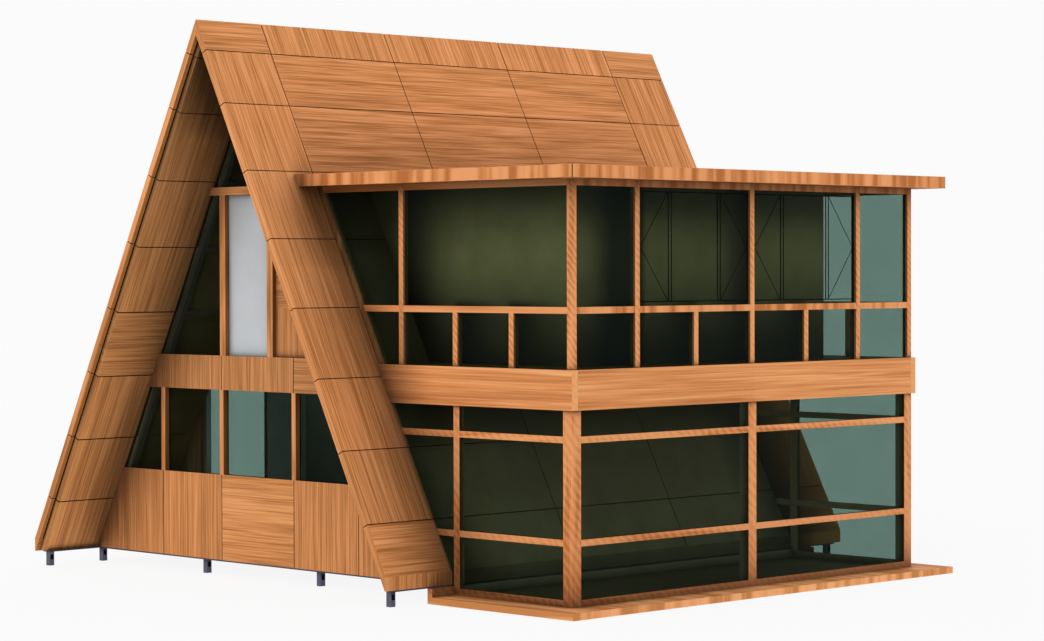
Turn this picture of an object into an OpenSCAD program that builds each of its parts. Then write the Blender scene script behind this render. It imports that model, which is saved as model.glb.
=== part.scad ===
// A-frame cabin: a steep panelled tent roof on short steel feet, with a glazed
// two-storey extension along its right side.
// Millimetres, +Z up, ground at z = 0, ridge along Y, front gable towards -Y,
// extension towards +X. Walls, floors and roof are hollow-built from panels.

/* [Roof form] */
// Height of the ridge above the ground
ridge_z = 8077; // [7600:10:8600]
// Lean of each roof slope away from the vertical, in degrees
slope_deg = 27.5; // [26:0.25:29]
// Height of the lower edge of the roof cladding, also the ground floor level
eave_z = 416; // [380:4:480]
// Width of one large cladding panel along the ridge
panel_w = 2400; // [2100:50:2700]
// Overhang of each verge past the gable line
verge_w = 1200; // [900:50:1500]

/* [Roof layers] */
// Slope length of the row of panels at the ridge
ridge_row = 500; // [400:10:600]
// Slope length of the second row of panels
second_row = 866; // [700:10:1000]
// Slope length of the lowest row of panels
bottom_row = 768; // [600:10:900]
// Thickness of the cladding panels
skin_t = 100; // [60:5:140]
// Thickness of the inner lining
lining_t = 80; // [50:5:120]
// Distance by which the lining stops short of the verge
lining_back = 85; // [40:5:140]
// Open joint between neighbouring cladding panels
joint = 14; // [6:1:20]
// Fine seam between neighbouring boards of one layer
seam = 2; // [1:0.5:4]
// Offset of the lining's joints down the slope from the cladding's joints
lap = 16; // [14:1:40]
// Face width of the timbers under the lining
timber_w = 90; // [60:5:120]
// Depth of the timbers under the lining
timber_d = 90; // [60:5:100]

/* [Base] */
// Height of the underside of the base sheet
base_z = 208; // [180:4:300]
// Thickness of the dark base sheet
sheet_t = 20; // [10:1:30]
// Width of the square steel feet
foot_w = 90; // [60:5:140]
// Distance of the outermost feet from the eave edge
foot_inset = 115; // [80:5:200]
// Distance of the verge feet from the verge
foot_verge = 200; // [100:5:300]

/* [Gable walls] */
// Thickness of the gable panels and posts, outward from the gable line
gable_t = 100; // [70:5:140]
// Width of the gable posts
gable_post = 90; // [60:5:120]
// Distance of the inner window posts from the middle of the gable
post_a = 820; // [650:10:950]
// Width at the window head of the narrow panes beside the slopes
narrow_pane = 314; // [250:2:400]
// Depth of the studs behind the joints of the lower gable panels
stud_d = 60; // [40:5:90]
// Height of the lower window sill
sill_z = 1490; // [1200:10:1700]
// Height of the band of panels between the two window rows
spandrel_h = 505; // [400:5:600]
// Rise of that band above the upper floor
spandrel_rise = 52; // [20:2:90]
// Drop from the ridge to the underside of the rail over the upper door
apex_h = 2467; // [2350:1:2600]
// Height of the rail over the upper door
header_h = 115; // [80:5:160]
// Place of the upper door opening's left edge
door_x = -720; // [-900:10:-650]
// Width of the upper door opening
door_w = 950; // [800:10:1100]
// Width of the posts beside the upper door
door_post = 128; // [80:4:160]
// Thickness of the upper door
door_t = 45; // [35:1:60]
// Distance by which the boarded upper panel stands behind the posts
panel_back = 60; // [30:5:65]
// Thickness of all panes
glass_t = 24; // [12:2:40]

/* [Side light] */
// Height of the head of the upright side light
light_z = 2760; // [2450:2:2850]
// Width of the side light over its frame
light_w = 1320; // [900:20:1400]
// Length of the boarded wall behind it in the same recess
light_wall = 700; // [500:20:900]
// Distance of the recess from the front gable line
light_y = 1100; // [900:50:1200]
// Face width of the side light's frame
light_frame = 90; // [60:5:120]
// Thickness of the cheeks beside the side light
cheek_t = 60; // [30:5:100]

/* [Floors] */
// Height of the upper floor
upper_z = 3195; // [3050:5:3350]
// Thickness of the upper floors
floor_t = 245; // [180:5:320]

/* [Extension] */
// Distance of the extension's outer wall face from the middle of the cabin
ext_x = 6285; // [6000:5:6600]
// Margin of the deck outside the walls
deck_margin = 438; // [300:5:600]
// Thickness of the deck
deck_t = 94; // [60:2:140]
// Height of the curb under the lower panes
curb_h = 92; // [60:2:120]
// Width of the main lower posts
main_post = 165; // [120:5:200]
// Distance of the lower end posts from the eave edge
end_gap = 57; // [40:1:80]
// Width of the lower end posts
end_post = 112; // [90:2:140]
// Width of the slender posts and mullions
slim_post = 90; // [60:5:120]
// Height of the lower rails
rail_h = 88; // [60:2:110]
// Middle height of the lower of the two lower rails
rail_a_z = 930; // [800:10:1100]
// Middle height of the upper of the two lower rails
rail_b_z = 2280; // [2000:10:2400]
// Distance of the lower panes behind the outer faces of the posts
lower_set = 10; // [4:1:30]
// Height of the band at the upper floor
band_h = 528; // [450:4:600]
// Distance of the upper side posts from the middle of the wall
bay_y = 2345; // [2200:5:2450]
// Distance of the upper panes behind the outer faces of the posts
upper_set = 34; // [10:2:64]
// Distance by which the band stands proud of the posts
band_out = 45; // [20:5:80]
// Depth of the band
band_d = 110; // [90:5:160]
// Width at the floor of the pane beside each sloping end member
rake_gap = 312; // [200:4:420]
// Middle height of the upper sill rail above the upper floor
upper_sill = 775; // [650:5:900]
// Height of the underside of the extension roof
ext_roof_z = 5689; // [5500:5:5850]
// Thickness of the extension roof
ext_roof_t = 172; // [120:4:220]
// Overhang of the extension roof past the walls
ext_over = 355; // [250:5:450]
// Distance of the inner room's outer wall from the glazed wall
gallery_w = 880; // [750:10:1100]
// Distance of the inner room's end walls from the gable lines
gallery_end = 960; // [750:10:1100]
// Thickness of the inner room's walls
room_t = 100; // [60:5:140]

/* [Hidden] */
columns = 3;
full_rows = 6;
slope_tan = tan(slope_deg);
slope_sin = sin(slope_deg);
slope_cos = cos(slope_deg);
roof_t = skin_t + lining_t;
gable_y = columns * panel_w / 2;
ridge_y = gable_y + verge_w;
wall_y = gable_y + gable_t;
eave_x = (ridge_z - eave_z) * slope_tan;
floor_x = eave_x - roof_t / slope_cos;
base_top = base_z + sheet_t;
deck_x = ext_x + deck_margin;
end_x = eave_x + end_gap;
x_mid = (deck_x - eave_x) / 2;
row_len = ((ridge_z - eave_z) / slope_cos - ridge_row - second_row - bottom_row) / full_rows;
row_ends = [0, ridge_row, ridge_row + second_row,
  for (i = [1 : full_rows]) ridge_row + second_row + i * row_len,
  (ridge_z - eave_z) / slope_cos];
rows = len(row_ends) - 1;
head_z = upper_z + spandrel_rise - spandrel_h;
span_z = upper_z + spandrel_rise;
header_z = ridge_z - apex_h;
post_b = x_at(head_z, roof_t) - narrow_pane - gable_post / 2;
light_x = x_at(light_z);
band_z = upper_z - band_h;
room_x = ext_x - gallery_w;
room_y = gable_y - gallery_end;
upper_sill_z = upper_z + upper_sill;
head_rail_z = ext_roof_z - rail_h;
// Cuts through the two slopes: first and last y, first and last z
left_cut = [-gable_y + light_y, -gable_y + light_y + light_w + light_wall, eave_z, light_z];
right_cut = [-room_y + room_t, room_y - room_t, upper_z, ext_roof_z];
// Edges of the front and rear extension walls
post_x = x_at(upper_z, -slim_post) + rake_gap;
corner_x = ext_x - slim_post;
bay_x = (corner_x - post_x) / columns;

// Distance from the middle of the cabin to a layer depth t under the slope
function x_at(z, t = 0) = (ridge_z - z) * slope_tan - t / slope_cos;
// Height at which that layer reaches the distance x
function z_at(x, t = 0) = ridge_z - (x + t / slope_cos) / slope_tan;
// Edges of slope pieces: level at a height, square across the slope at a
// distance from the ridge, or mitred under the ridge
function level_edge(z) = ["level", z];
function square_edge(s) = ["square", s];
ridge_edge = ["ridge", 0];
// Point of an edge at a layer depth t under the slope
function edge_point(edge, t) =
  edge[0] == "level" ? [x_at(edge[1], t), edge[1]]
  : edge[0] == "square" ? [edge[1] * slope_sin - t * slope_cos,
      ridge_z - edge[1] * slope_cos - t * slope_sin]
  : [0, z_at(0, t)];
// Upper and lower edge of a row, with an open joint moved down the slope by shift
function row_top(row, shift = 0) =
  row == 0 ? ridge_edge : square_edge(row_ends[row] + shift + joint / 2);
function row_bottom(row, shift = 0) =
  row == rows - 1 ? level_edge(eave_z) : square_edge(row_ends[row + 1] + shift - joint / 2);
// Outline of a slope layer between two edges
function slope_outline(top, bottom, t, side) =
  [for (p = [edge_point(top, t[1]), edge_point(top, t[0]),
      edge_point(bottom, t[0]), edge_point(bottom, t[1])]) [side * p[0], p[1]]];
// Least height of a slope layer between two edges
function slope_drop(top, bottom, t) =
  min([for (d = t) edge_point(top, d)[1] - edge_point(bottom, d)[1]]);

module place() { translate([-x_mid, 0, 0]) children(); }
module box(x, y, z) {
  translate([x[0], y[0], z[0]]) cube([x[1] - x[0], y[1] - y[0], z[1] - z[0]]);
}
// An XZ outline drawn out along Y
module prism(points, y) {
  translate([0, y[1], 0]) rotate([90, 0, 0])
    linear_extrude(height = y[1] - y[0]) polygon(points);
}
module both_ends() { children(); mirror([0, 1, 0]) children(); }
module both_slopes() { children(); mirror([1, 0, 0]) children(); }

// One slope piece
module slope_piece(side, top, bottom, t, y) {
  if (slope_drop(top, bottom, t) > 2 * seam && y[1] - y[0] > 2 * seam)
    prism(slope_outline(top, bottom, t, side), y);
}
// One slope panel, split round a cut that passes through it
module slope_panel(side, top, bottom, t, y, cut, gap) {
  high = edge_point(top, t[1])[1];
  low = edge_point(bottom, t[0])[1];
  free = cut[1] <= y[0] || cut[0] >= y[1] || cut[3] <= low || cut[2] >= high;
  if (free) slope_piece(side, top, bottom, t, y);
  else {
    y0 = max(y[0], cut[0]);
    y1 = min(y[1], cut[1]);
    slope_piece(side, top, bottom, t, [y[0], y0]);
    slope_piece(side, top, bottom, t, [y1, y[1]]);
    rim = [y0 + (y0 > y[0] ? gap : 0), y1 - (y1 < y[1] ? gap : 0)];
    slope_piece(side, top, level_edge(cut[3]), t, rim);
    slope_piece(side, level_edge(cut[2]), bottom, t, rim);
  }
}
// Cladding panel of one row and one column; columns -1 and 3 are the verges
module cladding(side, row, column, cut) {
  first = column < 0;
  last = column >= columns;
  y0 = first ? -ridge_y : -gable_y + column * panel_w + joint / 2;
  y1 = last ? ridge_y : -gable_y + (column + 1) * panel_w - joint / 2;
  slope_panel(side, row_top(row), row_bottom(row), [0, skin_t], [y0, y1], cut, joint);
}
module cladding_field(side, cut) {
  for (row = [1 : rows - 1], column = [0 : columns - 1]) cladding(side, row, column, cut);
}
module cladding_verge(side, cut) {
  for (row = [1 : rows - 2], column = [-1, columns]) cladding(side, row, column, cut);
}
module cladding_ridge(side, cut) {
  for (column = [0 : columns - 1]) cladding(side, 0, column, cut);
}
module cladding_ends(side, cut) {
  for (row = [0, rows - 1], column = [-1, columns]) cladding(side, row, column, cut);
}

// Sheet under the floor, and a strip under each verge that ends over its foot
module base_sheet() {
  z = [base_z, base_top];
  strip_x = eave_x - foot_inset - foot_w / 2;
  strip_y = ridge_y - foot_verge + foot_w / 2;
  place() color("dimgray") {
    box([-eave_x, eave_x], [-wall_y, wall_y], z);
    both_ends() both_slopes() box([strip_x, eave_x], [wall_y + seam, strip_y], z);
  }
}
module foot(x, y) {
  box([x - foot_w / 2, x + foot_w / 2], [y - foot_w / 2, y + foot_w / 2], [0, base_z]);
}
module feet() {
  outer = eave_x - foot_inset;
  place() color("slategray") {
    for (i = [0 : 3], j = [0 : columns])
      foot(-outer + i * 2 * outer / 3, -gable_y + j * panel_w);
    both_ends() both_slopes() foot(outer, ridge_y - foot_verge);
  }
}
module ground_floor() {
  low = x_at(base_top, roof_t);
  place() color("peru") prism([[-low, base_top], [low, base_top],
    [floor_x, eave_z], [-floor_x, eave_z]], [-gable_y, gable_y]);
}
// What lies inside the upright faces under the two eaves
module between_eaves() {
  intersection() {
    union() children();
    box([-eave_x, eave_x], [-2 * ridge_y, 2 * ridge_y], [0, ridge_z]);
  }
}
// Plumb cut foot of the cladding, a wedge that thins towards the base
module eave_plinths() {
  wedge = slope_outline(level_edge(eave_z), level_edge(base_top), [0, skin_t], 1);
  place() color("sandybrown") both_slopes()
    between_eaves() prism(wedge, [-ridge_y, ridge_y]);
}
module roof_left_field() { place() color("peru") cladding_field(-1, left_cut); }
module roof_left_verge() { place() color("sandybrown") cladding_verge(-1, left_cut); }
module roof_left_ridge() { place() color("sandybrown") cladding_ridge(-1, left_cut); }
module roof_left_ends() { place() color("peru") cladding_ends(-1, left_cut); }
module roof_right_field() { place() color("peru") cladding_field(1, right_cut); }
module roof_right_verge() { place() color("sandybrown") cladding_verge(1, right_cut); }
module roof_right_ridge() { place() color("sandybrown") cladding_ridge(1, right_cut); }
module roof_right_ends() { place() color("peru") cladding_ends(1, right_cut); }

// Lining rows, their open joints covered from outside by the cladding; the last
// one runs down to the base
module lining(side, cut) {
  end = ridge_y - lining_back;
  t = [skin_t, roof_t];
  for (row = [0 : rows - 2])
    slope_panel(side, row_top(row, lap), row_bottom(row, lap), t, [-end, end], cut, seam);
  between_eaves() slope_panel(side, row_top(rows - 1, lap), level_edge(base_top), t,
    [-end, end], cut, seam);
}
module lining_left() { place() color("sienna") lining(-1, left_cut); }
module lining_right() { place() color("sienna") lining(1, right_cut); }

// Sloping timbers behind the gable glass of both storeys, mitred under the ridge
module gable_ribs() {
  t = [roof_t, roof_t + timber_d];
  y = [gable_y - timber_w, gable_y];
  rib = [[x_at(upper_z, t[0]), upper_z], [seam / 2, z_at(seam / 2, t[0])],
    [seam / 2, z_at(seam / 2, t[1])], [x_at(upper_z, t[1]), upper_z]];
  place() color("sienna") both_ends() both_slopes() {
    prism(rib, y);
    prism(slope_outline(level_edge(upper_z - floor_t), level_edge(eave_z), t, 1), y);
  }
}
// Timbers under the lining, one along each row joint of the upper floor
module purlins() {
  t = [roof_t, roof_t + timber_d];
  end = gable_y - timber_w;
  place() color("sienna") for (side = [-1, 1], row = [2 : rows - 1]) {
    top = square_edge(row_ends[row] + lap - timber_w / 2);
    bottom = square_edge(row_ends[row] + lap + timber_w / 2);
    low = edge_point(bottom, t[1])[1];
    shape = slope_outline(top, bottom, t, side);
    open = side > 0 && low < ext_roof_z;
    if (low > upper_z + seam && edge_point(top, t[1])[0] > seam) {
      if (open) both_ends() prism(shape, [right_cut[1], end]);
      else prism(shape, [-end, end]);
    }
  }
}
module upper_floor() {
  z0 = upper_z - floor_t;
  place() color("burlywood") prism([[-x_at(z0, roof_t), z0], [x_at(z0, roof_t), z0],
    [x_at(upper_z, roof_t), upper_z], [-x_at(upper_z, roof_t), upper_z]],
    [-gable_y, gable_y]);
}

// Part of a gable between a post line and the slope
function gable_side(x, z0, z1) =
  [[x, z0], [x_at(z0, roof_t), z0], [x_at(z1, roof_t), z1], [x, z1]];
gable_wall = [gable_y, wall_y];
gable_pane = [gable_y, gable_y + glass_t];

module gable_side_panels() {
  place() color("sandybrown") both_ends() both_slopes() {
    prism(gable_side(post_b + joint / 2, base_top, sill_z), gable_wall);
    box([post_a + joint / 2, post_b - joint / 2], gable_wall, [base_top, sill_z]);
  }
}
module gable_centre_panels() {
  place() color("peru") both_ends() box([-post_a + joint / 2, post_a - joint / 2],
    gable_wall, [base_top, sill_z]);
}
// Studs that close the joints of the lower panels from inside
module gable_studs() {
  half = gable_post / 2;
  place() color("sienna") both_ends() for (x = [-post_b, -post_a, post_a, post_b])
    box([x - half, x + half], [gable_y - stud_d, gable_y], [eave_z, sill_z]);
}
module gable_posts() {
  half = gable_post / 2;
  place() color("sandybrown") both_ends() {
    for (x = [-post_b, -post_a, post_a, post_b])
      box([x - half, x + half], gable_wall, [sill_z, head_z]);
    box([door_x - door_post, door_x], gable_wall, [span_z, header_z]);
    box([door_x + door_w, door_x + door_w + door_post], gable_wall, [span_z, header_z]);
  }
}
module gable_spandrels() {
  place() color("sandybrown") both_ends() {
    box([-post_a + joint / 2, post_a - joint / 2], gable_wall, [head_z, span_z]);
    both_slopes() prism(gable_side(post_a + joint / 2, head_z, span_z), gable_wall);
  }
}
module gable_headers() {
  z1 = header_z + header_h;
  place() color("peru") both_ends() prism([[-x_at(header_z, roof_t), header_z],
    [x_at(header_z, roof_t), header_z], [x_at(z1, roof_t), z1], [-x_at(z1, roof_t), z1]],
    gable_wall);
}
module gable_upper_panels() {
  place() color("sandybrown") both_ends()
    prism(gable_side(door_x + door_w + door_post, span_z, header_z),
      [gable_y, wall_y - panel_back]);
}
// The opaque upper door, in the front gable only, level with the panes
module gable_door() {
  face = gable_y + glass_t;
  place() color("white")
    box([door_x, door_x + door_w], [-face, door_t - face], [span_z, header_z]);
}
module gable_glass() {
  half = gable_post / 2;
  z1 = header_z + header_h;
  place() color("darkslategray") {
    both_ends() {
      both_slopes() {
        prism(gable_side(post_b + half, sill_z, head_z), gable_pane);
        box([post_a + half, post_b - half], gable_pane, [sill_z, head_z]);
      }
      box([-post_a + half, post_a - half], gable_pane, [sill_z, head_z]);
      mirror([1, 0, 0])
        prism(gable_side(door_post - door_x, span_z, header_z), gable_pane);
      prism([[-x_at(z1, roof_t), z1], [x_at(z1, roof_t), z1], [0, z_at(0, roof_t)]],
        gable_pane);
    }
    box([door_x, door_x + door_w], gable_pane, [span_z, header_z]);
  }
}

light_end = left_cut[0] + light_w;
light_plane = [-light_x, -light_x + light_frame];
light_clear = [left_cut[0] + light_frame, light_end - light_frame];
// Boarded sides of the recess in the left slope: two triangles from the slope to
// the side light, and the wall behind it
module side_light_cheeks() {
  shape = [[-light_x, eave_z], [-floor_x, eave_z], [-light_x, z_at(light_x, roof_t)]];
  place() color("burlywood") {
    prism(shape, [left_cut[0] - cheek_t, left_cut[0]]);
    prism(shape, [left_cut[1], left_cut[1] + cheek_t]);
    box(light_plane, [light_end, left_cut[1] - seam], [eave_z, light_z]);
  }
}
module side_light_frame() {
  rail_y = [light_clear[0] + seam, light_clear[1] - seam];
  place() color("sandybrown") {
    box(light_plane, [left_cut[0], light_clear[0]], [eave_z, light_z]);
    box(light_plane, [light_clear[1], light_end], [eave_z, light_z]);
    box(light_plane, rail_y, [light_z - light_frame, light_z]);
    box(light_plane, rail_y, [eave_z, eave_z + light_frame]);
  }
}
module side_light_glass() {
  x = -light_x + (light_frame - glass_t) / 2;
  place() color("darkslategray")
    box([x, x + glass_t], light_clear, [eave_z + light_frame, light_z - light_frame]);
}

wall_slim = [gable_y - slim_post, gable_y];
wall_pane = [gable_y - upper_set - glass_t, gable_y - upper_set];
side_slim = [ext_x - slim_post, ext_x];
side_pane = [ext_x - upper_set - glass_t, ext_x - upper_set];
lower_wall_pane = [gable_y - lower_set - glass_t, gable_y - lower_set];
lower_side_pane = [ext_x - lower_set - glass_t, ext_x - lower_set];
// Part of an extension end wall between the slope, at a distance off it, and x
function ext_side(x, z0, z1, off = 0) =
  [[x_at(z0, -off), z0], [x, z0], [x, z1], [x_at(z1, -off), z1]];

module deck() {
  end = gable_y + deck_margin;
  place() color("sandybrown") box([eave_x, deck_x], [-end, end], [0, deck_t]);
}
module deck_upstand() {
  end = gable_y + deck_margin;
  place() color("peru")
    box([eave_x, eave_x + slim_post], [-end, end], [deck_t, base_z]);
}
// Curb under the lower panes, and a block beside the upstand under each end post
module curb() {
  z = [deck_t, deck_t + curb_h];
  place() color("peru") both_ends() {
    box([eave_x + slim_post, end_x + end_post], wall_slim, [deck_t, base_z]);
    box([end_x + end_post + seam, ext_x - main_post], wall_slim, z);
    box(side_slim, [main_post / 2, gable_y - main_post], z);
  }
}
module lower_posts() {
  x = [ext_x - main_post, ext_x];
  place() color("sandybrown") {
    both_ends() {
      box(x, [gable_y - main_post, gable_y], [deck_t, band_z]);
      box([end_x, end_x + end_post], wall_slim, [base_z, band_z]);
    }
    box(x, [-main_post / 2, main_post / 2], [deck_t, band_z]);
  }
}
module lower_rails() {
  place() color("peru") both_ends() for (mid = [rail_a_z, rail_b_z]) {
    z = [mid - rail_h / 2, mid + rail_h / 2];
    prism(ext_side(end_x, z[0], z[1]), wall_slim);
    box([end_x + end_post, ext_x - main_post], wall_slim, z);
    box(side_slim, [main_post / 2, gable_y - main_post], z);
  }
}
module lower_glass() {
  half = rail_h / 2;
  low = deck_t + curb_h;
  place() color("darkslategray") both_ends() {
    for (z = [[low, rail_a_z - half], [rail_a_z + half, rail_b_z - half],
        [rail_b_z + half, band_z]]) {
      box([end_x + end_post, ext_x - main_post], lower_wall_pane, z);
      box(lower_side_pane, [main_post / 2, gable_y - main_post], z);
    }
    box([eave_x, end_x], lower_wall_pane, [base_z, eave_z - seam]);
    for (z = [[eave_z, rail_a_z - half], [rail_a_z + half, rail_b_z - half],
        [rail_b_z + half, band_z]])
      prism(ext_side(end_x, z[0], z[1]), lower_wall_pane);
  }
}
module band() {
  face = ext_x + band_out;
  end = gable_y + band_out;
  place() color("sandybrown") {
    both_ends() prism(ext_side(face, band_z, upper_z), [end - band_d, end]);
    box([face - band_d, face], [-end + band_d + seam, end - band_d - seam],
      [band_z, upper_z]);
  }
}
module gallery_floor() {
  end = gable_y + band_out - band_d;
  place() color("burlywood")
    prism(ext_side(ext_x + band_out - band_d, upper_z - floor_t, upper_z), [-end, end]);
}
module upper_posts() {
  half = slim_post / 2;
  z = [upper_z, ext_roof_z];
  place() color("sandybrown") {
    both_ends() {
      box(side_slim, wall_slim, z);
      box(side_slim, [bay_y - half, bay_y + half], z);
      box([post_x, post_x + slim_post], wall_slim, z);
    }
    box(side_slim, [-half, half], z);
  }
}
// Sill and head rails of the upper storey, cut between the posts
module upper_rails() {
  half = slim_post / 2;
  sill = [upper_sill_z - rail_h / 2, upper_sill_z + rail_h / 2];
  place() color("peru") both_ends() for (z = [sill, [head_rail_z, ext_roof_z]]) {
    prism(ext_side(post_x, z[0], z[1], slim_post), wall_slim);
    box([post_x + slim_post, corner_x], wall_slim, z);
    box(side_slim, [half, bay_y - half], z);
    box(side_slim, [bay_y + half, gable_y - slim_post], z);
  }
}
module upper_mullions() {
  half = slim_post / 2;
  z = [upper_z, upper_sill_z - rail_h / 2];
  place() color("sandybrown") both_ends() {
    for (i = [1 : columns - 1]) {
      x = post_x + i * bay_x;
      box([x, x + slim_post], wall_slim, z);
    }
    box(side_slim, [bay_y / 2 - half, bay_y / 2 + half], z);
  }
}
// Sloping end members that lie on the roof slope
module upper_rakes() {
  place() color("sandybrown") both_ends()
    prism(slope_outline(level_edge(ext_roof_z), level_edge(upper_z), [0, -slim_post], 1),
      wall_slim);
}
module upper_glass() {
  half = slim_post / 2;
  low = [upper_z, upper_sill_z - rail_h / 2];
  high = [upper_sill_z + rail_h / 2, head_rail_z];
  place() color("darkslategray") both_ends() {
    for (z = [low, high]) prism(ext_side(post_x, z[0], z[1], slim_post), wall_pane);
    for (i = [0 : columns - 1])
      box([post_x + i * bay_x + slim_post, post_x + (i + 1) * bay_x], wall_pane, low);
    box([post_x + slim_post, corner_x], wall_pane, high);
    for (y = [[half, bay_y / 2 - half], [bay_y / 2 + half, bay_y - half],
        [bay_y + half, gable_y - slim_post]])
      box(side_pane, y, low);
    for (y = [[half, bay_y - half], [bay_y + half, gable_y - slim_post]])
      box(side_pane, y, high);
  }
}
module extension_roof() {
  end = gable_y + ext_over;
  place() color("sandybrown")
    prism(ext_side(ext_x + ext_over, ext_roof_z, ext_roof_z + ext_roof_t), [-end, end]);
}
module room_wall() {
  place() color("darkkhaki")
    box([room_x - room_t, room_x], [-room_y, room_y], [upper_z, ext_roof_z]);
}
module room_ends() {
  place() color("darkkhaki") both_ends()
    prism(ext_side(room_x - room_t, upper_z, ext_roof_z), [room_y - room_t, room_y]);
}

base_sheet();
feet();
ground_floor();
eave_plinths();
roof_left_field();
roof_left_verge();
roof_left_ridge();
roof_left_ends();
roof_right_field();
roof_right_verge();
roof_right_ridge();
roof_right_ends();
lining_left();
lining_right();
gable_ribs();
purlins();
upper_floor();
gable_side_panels();
gable_centre_panels();
gable_studs();
gable_posts();
gable_spandrels();
gable_headers();
gable_upper_panels();
gable_door();
gable_glass();
side_light_cheeks();
side_light_frame();
side_light_glass();
deck();
deck_upstand();
curb();
lower_posts();
lower_rails();
lower_glass();
band();
gallery_floor();
upper_posts();
upper_rails();
upper_mullions();
upper_rakes();
upper_glass();
extension_roof();
room_wall();
room_ends();
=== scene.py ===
"""Looks of the A-frame cabin: timber, glass and steel finishes, casement bars, feet and the studio."""

from __future__ import annotations

import logging
import math
from dataclasses import dataclass, field
from enum import Enum
from typing import Any

import bmesh
import bpy
from mathutils import Matrix, Vector


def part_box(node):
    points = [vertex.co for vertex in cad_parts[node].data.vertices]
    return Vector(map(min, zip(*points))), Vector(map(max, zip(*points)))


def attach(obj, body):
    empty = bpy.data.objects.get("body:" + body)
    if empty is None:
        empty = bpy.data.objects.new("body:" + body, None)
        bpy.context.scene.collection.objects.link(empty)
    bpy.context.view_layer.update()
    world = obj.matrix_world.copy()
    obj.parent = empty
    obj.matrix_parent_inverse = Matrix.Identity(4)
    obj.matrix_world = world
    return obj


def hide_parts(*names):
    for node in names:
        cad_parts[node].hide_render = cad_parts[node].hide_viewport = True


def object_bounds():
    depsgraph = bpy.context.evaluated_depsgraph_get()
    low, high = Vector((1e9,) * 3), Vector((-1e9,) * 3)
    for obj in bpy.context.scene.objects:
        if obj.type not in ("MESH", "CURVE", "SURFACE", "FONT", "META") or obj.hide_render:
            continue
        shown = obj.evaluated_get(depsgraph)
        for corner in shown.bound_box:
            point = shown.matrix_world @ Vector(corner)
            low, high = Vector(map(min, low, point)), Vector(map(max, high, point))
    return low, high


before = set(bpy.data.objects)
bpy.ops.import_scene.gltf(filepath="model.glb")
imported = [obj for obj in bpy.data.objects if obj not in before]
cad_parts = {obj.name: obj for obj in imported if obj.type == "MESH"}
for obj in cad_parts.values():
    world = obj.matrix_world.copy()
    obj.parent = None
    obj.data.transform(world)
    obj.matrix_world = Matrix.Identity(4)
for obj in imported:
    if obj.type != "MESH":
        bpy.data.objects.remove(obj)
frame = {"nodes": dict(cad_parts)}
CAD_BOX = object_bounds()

LOG = logging.getLogger("cabin")
BODY = "root"
IMAGE_WIDTH_PX = 1044
SENSOR_MM = 36.0
FAR = 1000.0
ALL = (-FAR, FAR)
# Span in which the values of a noise mostly lie.
NOISE_LOW, NOISE_HIGH = 0.3, 0.7
# How far a joint's dark sides stay behind the faces.
JOINT_DEPTH = 0.004
# Slack of a bound that has to take in a face lying on it.
HAIR = 0.001

Vec3 = tuple[float, float, float]
Span = tuple[float, float]
Tones = tuple[str, str, str]
Tree = bpy.types.NodeTree
Finish = bpy.types.Material
# A socket to link, or a node that stands for its first output.
Link = bpy.types.Node | bpy.types.NodeSocket


class Grain(Enum):
    """Local axis that a timber's grain or a shade follows."""

    ACROSS = 0
    ALONG = 1
    UP = 2


class Side(Enum):
    """Slope of the roof, with the sign of X on its side of the ridge."""

    RIGHT = 1
    LEFT = -1


def linear(hex_colour: str) -> tuple[float, float, float, float]:
    """Turns an sRGB hex colour to linear light.

    Args:
        hex_colour: Six hex digits after a hash sign.

    Returns:
        Linear red, green, blue and an alpha of 1.
    """
    parts = [int(hex_colour[i : i + 2], 16) / 255 for i in (1, 3, 5)]
    light = [c / 12.92 if c <= 0.04045 else ((c + 0.055) / 1.055) ** 2.4 for c in parts]
    return (light[0], light[1], light[2], 1.0)


def add_node(
    tree: Tree, kind: str, inputs: dict[str | int, Any] | None = None, **settings: Any
) -> bpy.types.Node:
    """Adds a node with its settings, links and constants.

    Args:
        tree: Takes the node.
        kind: Blender's type name of the node after the word ShaderNode.
        inputs: Sockets by name or number, each with a link or a constant.
        settings: Attributes of the node; "stops" are a colour ramp's places and colours.

    Returns:
        The new node.
    """
    node = tree.nodes.new(f"ShaderNode{kind}")
    stops = settings.pop("stops", ())
    for name, value in settings.items():
        setattr(node, name, value)
    if stops:
        elements = node.color_ramp.elements
        while len(elements) < len(stops):
            elements.new(0.5)
        for element, (place, colour) in zip(elements, stops):
            element.position, element.color = place, colour
    for name, value in (inputs or {}).items():
        if isinstance(value, bpy.types.Node):
            value = value.outputs[0]
        if isinstance(value, bpy.types.NodeSocket):
            tree.links.new(value, node.inputs[name])
        else:
            node.inputs[name].default_value = value
    return node


def new_material(name: str) -> tuple[Finish, Tree, Link]:
    """Makes an empty node material.

    Args:
        name: Name of the finish.

    Returns:
        The material, its node tree and the place in metres there.
    """
    material = bpy.data.materials.new(name)
    material.use_nodes = True
    tree = material.node_tree
    tree.nodes.clear()
    return material, tree, add_node(tree, "TexCoord").outputs["Object"]


def corner_shade(tree: Tree, reach_m: float, darkest: float) -> Link:
    """Adds painted shade that darkens inner corners.

    Args:
        tree: Takes the nodes.
        reach_m: Distance from the corner at which the shade ends, in metres.
        darkest: Factor on the colour deep in a corner.

    Returns:
        The factor, 1 in the open.
    """
    near = add_node(tree, "AmbientOcclusion", {"Distance": reach_m}, samples=8).outputs["AO"]
    # An open face sees all of the sky, and one deep in a square corner half of it.
    return add_node(tree, "MapRange", {"Value": near, 1: 0.5, 2: 1.0, 3: darkest, 4: 1.0})


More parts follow.
